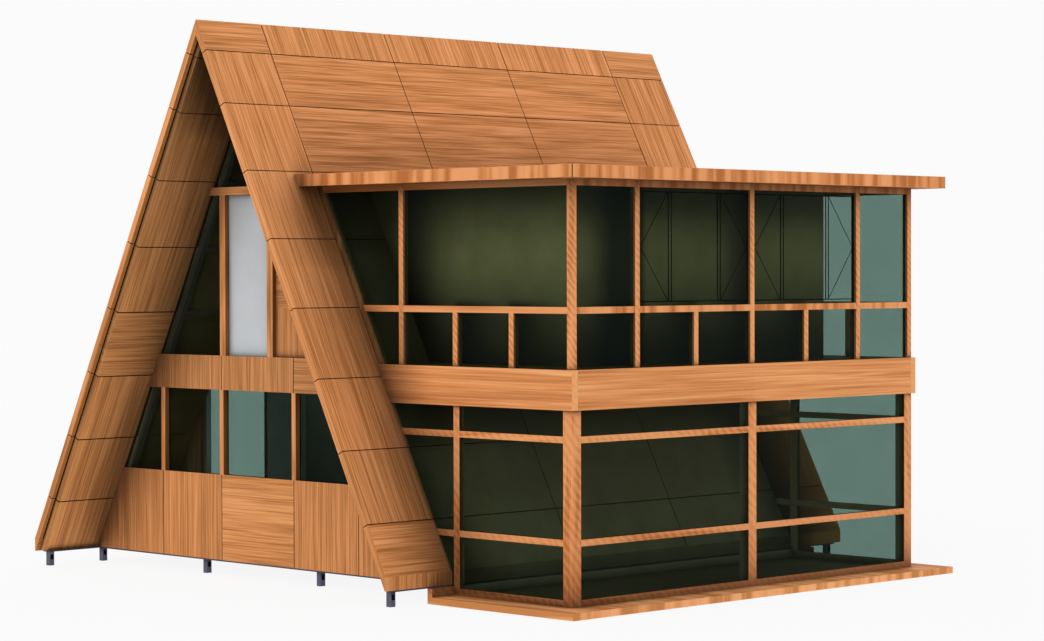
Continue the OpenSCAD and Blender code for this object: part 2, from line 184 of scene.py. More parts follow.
def add_surface(tree: Tree, colour: Link, relief: Link, rough: Span, bump: Span, specular: float) -> None:
    """Adds the shader and the output of an opaque finish.

    Args:
        tree: Takes the nodes.
        colour: Colour of the surface.
        relief: Fine pattern that the roughness and the bump follow.
        rough: Roughness in the pattern's hollows and on its tops.
        bump: Strength of the bump and its height in millimetres.
        specular: Level of the clear reflection.
    """
    spread = add_node(
        tree, "MapRange", {"Value": relief, 1: NOISE_LOW, 2: NOISE_HIGH, 3: rough[0], 4: rough[1]}
    )
    normal = add_node(tree, "Bump", {"Height": relief, "Strength": bump[0], "Distance": bump[1] / 1000})
    shader = add_node(
        tree,
        "BsdfPrincipled",
        {"Base Color": colour, "Roughness": spread, "Specular IOR Level": specular, "Normal": normal},
    )
    add_node(tree, "OutputMaterial", {"Surface": shader})


@dataclass(frozen=True)
class Zone:
    """Box in a timber's local frame, in metres, inside which something changes."""

    x: Span = ALL
    y: Span = ALL
    z: Span = ALL

    def mask(self, tree: Tree, local: Link) -> Link:
        """Adds nodes that are 1 inside the box and 0 outside it.

        Args:
            tree: Takes the nodes.
            local: The local place.

        Returns:
            The mask.
        """
        spans = (self.x, self.y, self.z)
        middle = tuple((low + high) / 2 for low, high in spans)
        half = tuple((high - low) / 2 for low, high in spans)
        off = add_node(tree, "VectorMath", {0: local, 1: middle}, operation="SUBTRACT")
        size = add_node(tree, "VectorMath", {0: off}, operation="ABSOLUTE")
        over = add_node(tree, "VectorMath", {0: size, 1: half}, operation="SUBTRACT")
        axes = add_node(tree, "SeparateXYZ", {0: over}).outputs
        widest = add_node(tree, "Math", {0: axes[0], 1: axes[1]}, operation="MAXIMUM")
        widest = add_node(tree, "Math", {0: widest, 1: axes[2]}, operation="MAXIMUM")
        return add_node(tree, "Math", {0: widest, 1: 0.0}, operation="LESS_THAN")


@dataclass(frozen=True)
class GrainLayer:
    """One scale of streaks in a timber: their width and length in millimetres, and how they bend."""

    width_mm: float
    length_mm: float
    weight: float
    detail: float = 2.0
    roughness: float = 0.5
    distortion: float = 0.2

    def size(self, grain: Grain, narrow: float = 1.0) -> Vec3:
        """Gives a streak's size in metres on the three local axes.

        Args:
            grain: Axis that the streak is longest on.
            narrow: Factor on the streak's width.

        Returns:
            The three sizes.
        """
        sizes = [self.width_mm * narrow / 1000] * 3
        sizes[grain.value] = self.length_mm / 1000
        return (sizes[0], sizes[1], sizes[2])


@dataclass(frozen=True)
class SoftShade:
    """Soft shade on a face, as behind a post: deepest at an edge and gone at a reach from it."""

    axis: Grain
    edge: float
    reach: float
    z: Span = ALL
    depth: float = 0.9
    beyond: float = 0.03
    soft: float = 0.16

    def factor(self, tree: Tree, place: Link) -> Link:
        """Adds the shade's factor on the colour.

        Args:
            tree: Takes the nodes.
            place: The place in metres.

        Returns:
            The factor, 1 where the shade doesn't reach.
        """
        axes = add_node(tree, "SeparateXYZ", {0: place}).outputs
        along = axes[self.axis.value]
        side = math.copysign(1.0, self.reach)
        past = self.edge + side * self.beyond
        span = {"Value": along, 1: self.edge - self.reach, 2: self.edge, 3: 0.0, 4: self.depth}
        fade = add_node(tree, "MapRange", span, interpolation_type="SMOOTHSTEP")
        for value, bound, way in ((along, past, side), (axes[2], self.z[0], -1), (axes[2], self.z[1], 1)):
            span = {"Value": value, 1: bound, 2: bound + way * self.soft, 3: 1.0, 4: 0.0}
            inside = add_node(tree, "MapRange", span, interpolation_type="SMOOTHSTEP")
            fade = add_node(tree, "Math", {0: fade, 1: inside}, operation="MULTIPLY")
        return add_node(tree, "Math", {0: 1.0, 1: fade}, operation="SUBTRACT")


@dataclass(frozen=True)
class BoardPaint:
    """Flat paint or coat on a board: even colour with a faint roller mottle and fine grit, and painted
    shade in corners and beside edges where asked for.
    """

    name: str
    colour: str
    mottle_mm: float = 420.0
    mottle_span: Span = (0.32, 0.68)
    depth: float = 0.10
    roughness: float = 0.62
    rough_spread: float = 0.08
    grit_mm: float = 35.0
    bump: float = 0.25
    bump_mm: float = 0.2
    specular: float = 0.5
    corner_m: float = 0.0
    corner_tone: float = 0.2
    shades: tuple[SoftShade, ...] = ()

    def mottled(self, tree: Tree, place: Link) -> Link:
        """Adds the mottled colour with its painted shades.

        Args:
            tree: Takes the nodes.
            place: The place in metres.

        Returns:
            The colour.
        """
        scale = 1000 / self.mottle_mm
        mottle = add_node(
            tree, "TexNoise", {"Vector": place, "Scale": scale, "Detail": 5.0, "Roughness": 0.6}
        )
        base = linear(self.colour)[:3]
        dark = (*(c * (1 - self.depth) for c in base), 1.0)
        light = (*(min(1.0, c * (1 + self.depth)) for c in base), 1.0)
        colour = add_node(
            tree, "ValToRGB", {"Fac": mottle}, stops=list(zip(self.mottle_span, (dark, light)))
        )
        factors = [shade.factor(tree, place) for shade in self.shades]
        if self.corner_m:
            factors.append(corner_shade(tree, self.corner_m, self.corner_tone))
        for factor in factors:
            colour = add_node(tree, "HueSaturation", {"Color": colour, "Value": factor})
        return colour

    def material(self) -> Finish:
        """Builds the finish.

        Returns:
            The material.
        """
        material, tree, place = new_material(self.name)
        scale = 1000 / self.grit_mm
        grit = add_node(
            tree, "TexNoise", {"Vector": place, "Scale": scale, "Detail": 3.0, "Roughness": 0.6}
        )
        rough = (self.roughness - self.rough_spread, self.roughness + self.rough_spread)
        colour = self.mottled(tree, place)
        add_surface(tree, colour, grit, rough, (self.bump, self.bump_mm), self.specular)
        return material


Patch = tuple[Zone, BoardPaint]


@dataclass(frozen=True)
class Timber:
    """Planed and oiled red pine: long streaks of early and late wood, matt, a shade apart by panel, with
    painted shade in corners.
    """

    name: str
    tones: Tones
    grain: Grain
    layers: tuple[GrainLayer, ...]
    origin: Vec3 = (0.0, 0.0, 0.0)
    lean_deg: float = 0.0
    panel_m: Vec3 = (FAR, FAR, FAR)
    panel_shade: float = 0.05
    ramp: tuple[float, float, float] = (0.39, 0.5, 0.61)
    turned: tuple[Zone, ...] = ()
    turned_grain: Grain = Grain.ALONG
    turned_narrow: float = 1.0
    row_gap: float = 0.0
    row_lap: float = 0.0
    shades: tuple[SoftShade, ...] = ()
    patches: tuple[Patch, ...] = ()
    ripple_mm: float = 0.0
    ripple_weight: float = 0.10
    roughness: float = 0.6
    rough_spread: float = 0.08
    bump: float = 0.2
    bump_mm: float = 1.5
    specular: float = 0.12
    corner_m: float = 0.7
    corner_tone: float = 0.22

    def figure(self, tree: Tree, local: Link) -> tuple[Link, Link]:
        """Adds the streaks of all layers.

        Args:
            tree: Takes the nodes.
            local: The local place in metres.

        Returns:
            The summed figure and its finest layer.
        """
        masks = [zone.mask(tree, local) for zone in self.turned]
        turn = masks[0] if masks else None
        for mask in masks[1:]:
            turn = add_node(tree, "Math", {0: turn, 1: mask}, operation="MAXIMUM")
        total: Any = 0.0
        fine: Any = None
        for layer in self.layers:
            size = layer.size(self.grain)
            place = add_node(tree, "VectorMath", {0: local, 1: size}, operation="DIVIDE")
            if turn is not None:
                size = layer.size(self.turned_grain, self.turned_narrow)
                other = add_node(tree, "VectorMath", {0: local, 1: size}, operation="DIVIDE")
                mix = add_node(tree, "Mix", {"Factor": turn, 4: place, 5: other}, data_type="VECTOR")
                place = mix.outputs[1]
            bend = {"Detail": layer.detail, "Roughness": layer.roughness, "Distortion": layer.distortion}
            fine = add_node(tree, "TexNoise", {"Vector": place, "Scale": 1.0, **bend})
            total = add_node(
                tree, "Math", {0: fine, 1: layer.weight, 2: total}, operation="MULTIPLY_ADD"
            )
        if self.ripple_mm:
            # At a scale of 1 a wave repeats each pi / 10 metres.
            scale = 1000 * math.pi / (10 * self.ripple_mm)
            wave = add_node(
                tree,
                "TexWave",
                {"Vector": local, "Scale": scale, "Distortion": 5.0, "Detail": 2.0, "Detail Scale": 0.7},
                wave_type="BANDS",
                bands_direction="DIAGONAL",
            ).outputs["Fac"]
            total = add_node(
                tree, "Math", {0: wave, 1: self.ripple_weight, 2: total}, operation="MULTIPLY_ADD"
            )
        return total, fine

    def off_gaps(self, tree: Tree, local: Link) -> Link:
        """Adds the mask of all but a thin line at each row joint.

        Args:
            tree: Takes the nodes.
            local: The local place in metres.

        Returns:
            The mask, 0 on the lines.
        """
        up = add_node(tree, "SeparateXYZ", {0: local}).outputs[2]
        row = add_node(tree, "Math", {0: up, 1: self.row_lap}, operation="ADD")
        off = add_node(tree, "Math", {0: row, 1: self.panel_m[2] / 2}, operation="PINGPONG")
        return add_node(tree, "Math", {0: off, 1: self.row_gap / 2}, operation="GREATER_THAN")

    def shaded(self, tree: Tree, local: Link, colour: Link) -> Link:
        """Shifts the colour a little from panel to panel, and darkens it with painted shade in corners and
        soft shades, and at joints.

        Args:
            tree: Takes the nodes.
            local: The local place in metres.
            colour: The colour before the shift.

        Returns:
            The shifted colour.
        """
        cell = add_node(tree, "VectorMath", {0: local, 1: self.panel_m}, operation="DIVIDE")
        cell = add_node(tree, "VectorMath", {0: cell}, operation="FLOOR")
        pick = add_node(tree, "TexWhiteNoise", {"Vector": cell}, noise_dimensions="3D")
        value = add_node(
            tree, "MapRange", {"Value": pick, 3: 1 - self.panel_shade, 4: 1 + self.panel_shade}
        )
        factors = [corner_shade(tree, self.corner_m, self.corner_tone)]
        factors += [shade.factor(tree, local) for shade in self.shades]
        if self.row_gap:
            factors.append(self.off_gaps(tree, local))
        for factor in factors:
            value = add_node(tree, "Math", {0: value, 1: factor}, operation="MULTIPLY")
        return add_node(tree, "HueSaturation", {"Color": colour, "Value": value})

    def material(self) -> Finish:
        """Builds the finish.

        Returns:
            The material.
        """
        material, tree, place = new_material(self.name)
        turn = (0.0, math.radians(self.lean_deg), 0.0)
        local = add_node(
            tree,
            "Mapping",
            {"Vector": place, "Location": self.origin, "Rotation": turn},
            vector_type="TEXTURE",
        )
        figure, fine = self.figure(tree, local)
        stops = [(at, linear(tone)) for at, tone in zip(self.ramp, self.tones)]
        colour = self.shaded(tree, local, add_node(tree, "ValToRGB", {"Fac": figure}, stops=stops))
        for zone, paint in self.patches:
            layers = {"Factor": zone.mask(tree, local), 6: colour, 7: paint.mottled(tree, place)}
            colour = add_node(tree, "Mix", layers, data_type="RGBA").outputs[2]
        rough = (self.roughness + self.rough_spread, self.roughness - self.rough_spread)
        add_surface(tree, colour, fine, rough, (self.bump, self.bump_mm), self.specular)
        return material


@dataclass(frozen=True)
class TintedGlass:
    """Grey-green float glass: clear sight through it, darker and greener with each pane, a faint ream."""

    name: str = "grey_green_float_glass"
    tint: str = "#CBD7D3"
    ream_mm: float = 700.0
    ream_tone: float = 0.97
    gloss: str = "#898E8B"
    roughness: float = 0.04
    ior: float = 1.12

    def material(self) -> Finish:
        """Builds the finish; the tint is that of one face, and a pane has two.

        Returns:
            The material.
        """
        material, tree, place = new_material(self.name)
        ream = add_node(tree, "TexNoise", {"Vector": place, "Scale": 1000 / self.ream_mm, "Detail": 2.0})
        base = linear(self.tint)
        dark = (*(c * self.ream_tone for c in base[:3]), 1.0)
        tint = add_node(tree, "ValToRGB", {"Fac": ream}, stops=[(NOISE_LOW, dark), (NOISE_HIGH, base)])
        clear = add_node(tree, "BsdfTransparent", {"Color": tint})
        gloss = add_node(tree, "BsdfGlossy", {"Color": linear(self.gloss), "Roughness": self.roughness})
        mirror = add_node(tree, "Fresnel", {"IOR": self.ior})
        shader = add_node(tree, "MixShader", {0: mirror, 1: clear, 2: gloss})
        add_node(tree, "OutputMaterial", {"Surface": shader})
        return material


# Streaks of the wide cladding boards: soft bands about a hand wide, then finer and finer fibres.
CLADDING_GRAIN = (
    GrainLayer(90, 3000, 0.33, distortion=0.35),
    GrainLayer(32, 1700, 0.40, distortion=0.25),
    GrainLayer(16, 900, 0.27, roughness=0.6, distortion=0.15),
)
# Closer and finer fibres of the gable boards.
GABLE_GRAIN = (
    GrainLayer(62, 2600, 0.30, distortion=0.3),
    GrainLayer(23, 1500, 0.42),
    GrainLayer(13, 900, 0.28, roughness=0.6, distortion=0.15),
)
# Quieter flowing figure of the planed beams.
BEAM_GRAIN = (
    GrainLayer(190, 2400, 0.7, distortion=0.9),
    GrainLayer(36, 900, 0.3, detail=3.0, roughness=0.6, distortion=0.4),
)
# Long slim streaks of the wide band between the storeys.
BAND_GRAIN = (
    GrainLayer(120, 4600, 0.42, distortion=0.7),
    GrainLayer(36, 2600, 0.40, distortion=0.6),
    GrainLayer(15, 1100, 0.18, roughness=0.6, distortion=0.3),
)
# Short cross-cut stripes that the deck and the roof edge show.
EDGE_GRAIN = (
    GrainLayer(170, 2600, 0.8, detail=0.5),
    GrainLayer(50, 1400, 0.2),
)
# Dark streak, middle tone and light streak. Oil makes the boards a warm orange-brown, a little paler
# under the verges and on level boards, and duller on the gable's band.
CLADDING_TONES = ("#B0713C", "#D99057", "#F3A86E")
GABLE_TONES = ("#B27440", "#D68F56", "#F2A66A")
SOFFIT_TONES = ("#B97E49", "#E09D61", "#FCB773")
LEVEL_TONES = ("#BA7A46", "#E0975B", "#F5AD70")
SPANDREL_TONES = ("#A86D3D", "#CA8953", "#E59E66")
# The extension's planed members are brighter, its sloping end members darker as painted shade, its floor
# boards tan.
TRIM_TONES = ("#BE733C", "#E29258", "#F1A56B")
SHADED_RAKE_TONES = ("#8E5F36", "#AD7A4A", "#C48D58")
DECK_TONES = ("#D08A50", "#EEA366", "#FDB67C")
BAND_TONES = ("#C67E48", "#E7985C", "#FAB376")
FLOOR_TONES = ("#9C7A52", "#B08D62", "#C39F72")

# Khaki paint on walls that the panes show as dark olive.
KHAKI_BOARD = BoardPaint("khaki_painted_board", "#BDA27F", corner_m=1.0, corner_tone=0.3)
# Matt sheet on the extension's floor, nearly black behind the panes.
FLOOR_SHEET = BoardPaint("khaki_floor_sheet", "#897557", mottle_mm=300.0, corner_m=0.6, corner_tone=0.25)
# Taupe paint on ribs and studs, thin dull lines behind the gable panes.
TAUPE_TIMBER = BoardPaint("taupe_painted_timber", "#9A8274")
# Pine left bare on the lining's room side, tan before the glass makes it nearly black.
BARE_LINING = BoardPaint("bare_pine_lining", "#B18F68")
# Near-white paint low on the room's left side, painted pale to stand in for light there; blue-grey through
# the gable panes.
PALE_PAINTED_LIGHT = BoardPaint("pale_wash_of_painted_light", "#F0F8FF")
# Tan primer on the room side of posts and rails, which the panes turn a dull grey-green.
PRIMED_TIMBER = BoardPaint("primed_timber", "#BFA482", corner_m=0.15, corner_tone=0.35)
# Raw cut edges of the boards, a tone darker than their oiled faces; the same tone is painted shade on the
# boards' underside at the verges.
RAW_EDGE_AND_PAINTED_SHADE = BoardPaint("raw_board_edge_and_painted_shade", "#B0763F", mottle_mm=70.0)
# Cut end of the band's front board, paler than its long faces.
END_GRAIN = BoardPaint("pine_end_grain", "#F3AB70", mottle_mm=45.0)
# Black felt behind the boards, which makes each open joint a thin dark line; under the verges the same
# black is a painted shadow line where the lining starts.
JOINT_FELT_AND_SHADOW_LINE = BoardPaint("black_joint_felt_and_painted_shadow_line", "#17130E", mottle_mm=60.0, depth=0.2)


@dataclass
class Dresser:
    """Puts finishes on CAD nodes and takes in new pieces."""

    nodes: dict[str, bpy.types.Object]

    def node(self, finish: Finish, *names: str) -> None:
        """Gives CAD nodes a finish.

        Args:
            finish: Material to put on.
            names: Names of the nodes.
        """
        for name in names:
            mesh = self.nodes[name].data
            mesh.materials.clear()
            mesh.materials.append(finish)
            LOG.info("%s takes %s", name, finish.name)

    def piece(self, name: str, bm: bmesh.types.BMesh, finish: Finish, slot: str) -> bpy.types.Object:
        """Makes a new piece of a bmesh that is already in place.

        Args:
            name: Name of the piece.
            bm: Its shape, freed here.
            finish: Its material.
            slot: Material slot that it follows; not used.

        Returns:
            The new object, riding on the building.
        """
        bmesh.ops.recalc_face_normals(bm, faces=bm.faces)
        mesh = bpy.data.meshes.new(name)
        bm.to_mesh(mesh)
        bm.free()
        mesh.materials.append(finish)
        piece = bpy.data.objects.new(name, mesh)
        bpy.context.scene.collection.objects.link(piece)
        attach(piece, BODY)
        LOG.info("%s built with %d faces", name, len(mesh.polygons))
        return piece


def add_bar(bm: bmesh.types.BMesh, size: Vec3, matrix: Matrix, edge: float) -> None:
    """Adds a straight bar with eased edges.

    Args:
        bm: Mesh that takes the bar.
        size: Its size on its own axes, in metres.
        matrix: Where it goes.
        edge: Width of the eased edges.
    """
    made = bmesh.ops.create_cube(bm, size=1.0)["verts"]
    bmesh.ops.scale(bm, vec=size, verts=made)
    edges = list({e for v in made for e in v.link_edges})
    done = bmesh.ops.bevel(
        bm, geom=edges, offset=edge, affect="EDGES", segments=1, profile=0.5, material=-1
    )
    verts = list({v for f in done["faces"] for v in f.verts})
    bmesh.ops.transform(bm, matrix=matrix, verts=verts)


@dataclass
class Roof:
    """Two slopes of jointed cladding with their lining, seen from outside, under the verges and inside.

    A slope's local frame starts at the first row joint under the ridge: Z runs up the slope, Y along
    the ridge and X out of the right slope's face and into the left one's.
    """

    axis_x: float
    ridge_z: float
    shelf_z: float
    floor_z: float
    lean_deg: float = 27.5
    panel_w: float = 2.4
    row_h: float = 1.0846
    first_row: float = 1.366
    lap: float = 0.016
    level_row: int = 3
    ridge_half: float = 4.8
    gable_half: float = 3.6
    board_t: float = 0.098
    lining_back: float = 0.085
    line: float = 0.024
    wash_y: float = -0.47
    lining_gap: float = 0.013
    pane_t: float = 0.024
    seal_w: float = 0.04
    cheek_t: float = 0.06
    corner_m: float = 1.2
    field_corner_m: float = 2.2
    beside_reach: float = 1.8
    beside_depth: float = 0.62
    beside_past: float = 0.3
    # The lining darkens towards the ridge, where least light gets in.
    soffit_shade: SoftShade = SoftShade(Grain.UP, edge=0.72, reach=5.3, depth=0.47, beyond=FAR)

    @property
    def middle(self) -> float:
        """Gives the middle of the ridge in the local frame, which starts one and a half panels off."""
        return 1.5 * self.panel_w

    def up(self, z: float) -> float:
        """Gives the place up the slope of a height."""
        return (z - self.ridge_z) / math.cos(math.radians(self.lean_deg)) + self.first_row

    def along(self, reach: float) -> Span:
        """Gives the span along the ridge up to a distance from its middle."""
        return (self.middle - reach, self.middle + reach)

    def under(self, side: Side, first: float, last: float) -> Span:
        """Gives the local span between two depths under a slope's outer face."""
        return (-last, -first) if side is Side.RIGHT else (first, last)

    def verge_patches(self, side: Side) -> tuple[Patch, ...]:
        """Gives the strip under a slope's verges, darker as painted shade, and the painted shadow line
        where the lining starts.

        Args:
            side: The slope.

        Returns:
            Zones in the slope's local frame with their paints.
        """
        deep = self.under(side, self.board_t, FAR)
        start = self.ridge_half - self.lining_back
        outer, inner = self.along(start + self.line), self.along(start)
        return (
            (Zone(x=deep), RAW_EDGE_AND_PAINTED_SHADE),
            (Zone(x=deep, y=(outer[0], inner[0])), JOINT_FELT_AND_SHADOW_LINE),
            (Zone(x=deep, y=(inner[1], outer[1])), JOINT_FELT_AND_SHADOW_LINE),
        )

    def lining_patches(self, side: Side) -> tuple[Patch, ...]:
        """Gives the lining's dark line round the gable panes and its room side, pale low on the left as
        painted light.

        Args:
            side: The slope.

        Returns:
            Zones in the slope's local frame with their paints.
        """
        pane = self.gable_half + self.pane_t
        room = self.along(pane - JOINT_DEPTH)
        patches = ((Zone(y=self.along(pane + self.seal_w)), JOINT_FELT_AND_SHADOW_LINE), (Zone(y=room), BARE_LINING))
        if side is Side.RIGHT:
            return patches
        wash = Zone(y=(self.middle + self.wash_y, room[1]), z=(-FAR, self.up(self.floor_z)))
        return (*patches, (wash, PALE_PAINTED_LIGHT))

    def recess_patch(self) -> Patch:
        """Gives the raw cut edges of the left slope's boards round the side light's recess.

        Returns:
            The zone in the slope's local frame with its paint.
        """
        low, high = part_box("side_light_cheeks")
        first = self.middle + low.y + self.cheek_t - JOINT_DEPTH
        last = self.middle + high.y - self.cheek_t + JOINT_DEPTH
        head = self.up(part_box("side_light_frame")[1].z) + self.board_t
        return Zone((JOINT_DEPTH, self.board_t), (first, last), (-FAR, head)), RAW_EDGE_AND_PAINTED_SHADE

    def timber(
        self, name: str, side: Side, grain: Grain, tones: Tones = CLADDING_TONES, **more: Any
    ) -> Finish:
        """Builds a timber in a slope's local frame.

        Args:
            name: Name of the finish.
            side: The slope.
            grain: Direction of the grain on the slope.
            tones: Dark, middle and light tone.
            more: Other fields of the timber.

        Returns:
            The material.
        """
        lean = math.radians(self.lean_deg)
        start_x = self.axis_x + side.value * self.first_row * math.sin(lean)
        origin = (start_x, -self.middle, self.ridge_z - self.first_row * math.cos(lean))
        return Timber(
            name, tones, grain, CLADDING_GRAIN, origin=origin, lean_deg=-side.value * self.lean_deg,
            panel_m=(FAR, self.panel_w, self.row_h), **{"corner_m": self.corner_m, **more},
        ).material()

    def dress_slope(self, dresser: Dresser, side: Side) -> None:
        """Dresses one slope and its lining.

        Args:
            dresser: Takes the finishes.
            side: The slope.
        """
        word = side.name.lower()
        length = self.along(self.ridge_half - JOINT_DEPTH / 2)
        joints = (Zone(self.under(side, JOINT_DEPTH, self.board_t), length), JOINT_FELT_AND_SHADOW_LINE)
        edges = (joints, *self.verge_patches(side))
        patches, shades = (joints, self.recess_patch()), ()
        if side is Side.RIGHT:
            # Under the extension's roof the slope is a room wall, and its rear verge stands in shade.
            covered = (-FAR, self.up(self.shelf_z))
            patches = ((Zone(z=covered), KHAKI_BOARD), joints)
            wall, reach = self.middle + self.gable_half, -self.beside_reach
            beside = SoftShade(Grain.ALONG, wall, reach, covered, self.beside_depth, self.beside_past)
            shades = (beside,)
        boards = self.timber(
            f"oiled_pine_level_{word}", side, Grain.ALONG, patches=patches, corner_m=self.field_corner_m
        )
        dresser.node(boards, f"roof_{word}_field")
        boards = self.timber(f"oiled_pine_sloping_{word}", side, Grain.UP, patches=edges, shades=shades)
        dresser.node(boards, f"roof_{word}_verge", f"roof_{word}_ridge")
        first, last = self.along(self.ridge_half - JOINT_DEPTH)
        boards = self.timber(
            f"oiled_pine_ends_{word}", side, Grain.ALONG,
            turned=(Zone(y=(-FAR, first)), Zone(y=(last, FAR))), turned_grain=Grain.UP,
            patches=edges, shades=shades,
        )
        dresser.node(boards, f"roof_{word}_ends")
        row = -(self.level_row + 1) * self.row_h - self.lap
        boards = self.timber(
            f"oiled_pine_soffit_{word}", side, Grain.UP, SOFFIT_TONES,
            turned=(Zone(z=(row, row + self.row_h)),), shades=(self.soffit_shade,),
            patches=self.lining_patches(side), row_gap=self.lining_gap, row_lap=self.lap,
        )
        dresser.node(boards, f"lining_{word}")

    def dress(self, dresser: Dresser) -> None:
        """Dresses both slopes, their plinths and the timbers behind them.

        Args:
            dresser: Takes the finishes.
        """
        for side in Side:
            self.dress_slope(dresser, side)
        room = Zone(x=(self.axis_x, FAR), y=(-self.gable_half, self.gable_half))
        plinth = Timber(
            "oiled_pine_plinth", CLADDING_TONES, Grain.UP, CLADDING_GRAIN, patches=((room, KHAKI_BOARD),)
        ).material()
        dresser.node(plinth, "eave_plinths")
        dresser.node(TAUPE_TIMBER.material(), "gable_ribs", "purlins", "gable_studs")


@dataclass
class Base:
    """Dark sheet, floors and the square steel feet with a slot high on one side."""

    foot_w: float = 0.09
    slot_h: float = 0.078
    slot_margin: float = 0.016
    slot_top: float = 0.039
    slot_depth: float = 0.045
    corner: float = 0.006
    floor_board_w: float = 0.14

    def foot_places(self) -> list[Vector]:
        """Finds the middle of each foot on the ground from the loose faces of its CAD node.

        Returns:
            One point for each foot.
        """
        mesh = frame["nodes"]["feet"].data
        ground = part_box("feet")[0].z
        found: dict[tuple[float, float], Vector] = {}
        for polygon in mesh.polygons:
            corners = [mesh.vertices[i].co for i in polygon.vertices]
            if max(c.z for c in corners) > ground + HAIR:
                continue
            xs, ys = [c.x for c in corners], [c.y for c in corners]
            middle = Vector(((min(xs) + max(xs)) / 2, (min(ys) + max(ys)) / 2, ground))
            found[(round(middle.x, 2), round(middle.y, 2))] = middle
        return [found[key] for key in sorted(found)]

    def foot(self, height: float) -> bmesh.types.BMesh:
        """Builds one foot that stands on the origin.

        Args:
            height: Its height in metres.

        Returns:
            The foot's mesh.
        """
        bm = bmesh.new()
        made = bmesh.ops.create_cube(bm, size=1.0)["verts"]
        bmesh.ops.scale(bm, vec=(self.foot_w, self.foot_w, height), verts=made)
        bmesh.ops.translate(bm, vec=(0, 0, height / 2), verts=made)
        upright = [e for e in bm.edges if abs(e.verts[0].co.z - e.verts[1].co.z) > height / 2]
        bmesh.ops.bevel(
            bm, geom=upright, offset=self.corner, affect="EDGES", segments=2, profile=0.5, material=-1
        )
        face = max(bm.faces, key=lambda f: f.normal.x * f.calc_area())
        bmesh.ops.inset_region(bm, faces=[face], thickness=self.slot_margin)
        top = height - self.slot_top
        for vert in face.verts:
            vert.co.z = top if vert.co.z > height / 2 else top - self.slot_h
        sunk = bmesh.ops.extrude_discrete_faces(bm, faces=[face])["faces"]
        bmesh.ops.translate(bm, vec=(-self.slot_depth, 0, 0), verts=list(sunk[0].verts))
        return bm

    def dress(self, dresser: Dresser) -> None:
        """Builds the feet and dresses the sheet and the floors.

        Args:
            dresser: Takes the finishes and the feet.
        """
        # Dark coat on steel, a cool blue-grey under the warm boards, with painted shade that turns it black
        # in its slot.
        steel = BoardPaint(
            "dark_coated_steel", "#4E4D62", mottle_mm=90.0, depth=0.14, roughness=0.45,
            bump_mm=0.15, corner_m=0.08, corner_tone=0.05,
        ).material()
        low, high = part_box("feet")
        bm = bmesh.new()
        for place in self.foot_places():
            one = self.foot(high.z - low.z)
            bmesh.ops.translate(one, vec=place, verts=one.verts)
            part = bpy.data.meshes.new("foot")
            one.to_mesh(part)
            one.free()
            bm.from_mesh(part)
            bpy.data.meshes.remove(part)
        feet = dresser.piece("steel_feet", bm, steel, "foot_steel")
        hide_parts("feet")
        # Rolled sheet, a thin blue-black line along the foot of the walls.
        sheet = BoardPaint("dark_base_sheet", "#2A2838", mottle_mm=240.0, depth=0.2, roughness=0.55)
        dresser.node(sheet.material(), "base_sheet")
        boards = Timber(
            "floor_boards", FLOOR_TONES, Grain.ALONG, CLADDING_GRAIN,
            panel_m=(self.floor_board_w, FAR, FAR), panel_shade=0.08,
        ).material()
        dresser.node(boards, "ground_floor", "upper_floor", "gallery_floor")


@dataclass
class Gable:
    """Gable walls: upright and level boards, posts, white upper door and tinted panes."""

    axis_x: float
    inner_post: float = 0.82
    half: float = 3.6
    wall_t: float = 0.1
    level_top_z: float = 3.96
    corner_m: float = 1.2
    corner_tone: float = 0.1

    def dress(self, dresser: Dresser, glass: Finish) -> None:
        """Dresses the gable walls and the side light.

        Args:
            dresser: Takes the finishes.
            glass: Finish of the panes.
        """
        face = self.half + self.wall_t - JOINT_DEPTH
        room = self.half + JOINT_DEPTH
        backs = ((Zone(y=(-face, face)), JOINT_FELT_AND_SHADOW_LINE), (Zone(y=(-room, room)), KHAKI_BOARD))
        near: dict[str, Any] = {"corner_m": self.corner_m, "corner_tone": self.corner_tone}
        above = (Zone(z=(self.level_top_z, FAR)),)
        right = (Zone(x=(self.axis_x + self.inner_post, FAR)),)
        for word, node, tones, grain, more in (
            ("upright", "side_panels", GABLE_TONES, Grain.UP, {"patches": backs, **near}),
            ("upper", "upper_panels", GABLE_TONES, Grain.UP, {"turned": above}),
            ("level", "centre_panels", LEVEL_TONES, Grain.ACROSS, {"patches": backs}),
            ("band", "spandrels", SPANDREL_TONES, Grain.UP, {"turned": right, "patches": backs, **near}),
        ):
            boards = Timber(
                f"oiled_pine_gable_{word}", tones, grain, GABLE_GRAIN, turned_grain=Grain.ACROSS, **more
            ).material()
            dresser.node(boards, f"gable_{node}")
        posts = Timber("planed_pine_gable_posts", GABLE_TONES, Grain.UP, BEAM_GRAIN).material()
        dresser.node(posts, "gable_posts")
        headers = Timber("planed_pine_gable_rail", GABLE_TONES, Grain.ACROSS, BEAM_GRAIN).material()
        dresser.node(headers, "gable_headers")
        # On their room side the cheeks are painted pale, standing in for light there.
        recess = Zone(x=(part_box("side_light_cheeks")[1].x - JOINT_DEPTH, FAR))
        cheeks = Timber(
            "oiled_pine_cheeks", SOFFIT_TONES, Grain.UP, CLADDING_GRAIN, patches=((recess, PALE_PAINTED_LIGHT),)
        ).material()
        # Smooth enamel, a cool white, with painted shade that greys it towards its frame.
        white = BoardPaint(
            "white_door_paint", "#D0D6DA", mottle_mm=600.0, depth=0.03, roughness=0.4, corner_m=1.2,
            corner_tone=0.4,
        ).material()
        dresser.node(cheeks, "side_light_cheeks", "side_light_frame")
        dresser.node(white, "gable_door")
        dresser.node(glass, "gable_glass", "side_light_glass")


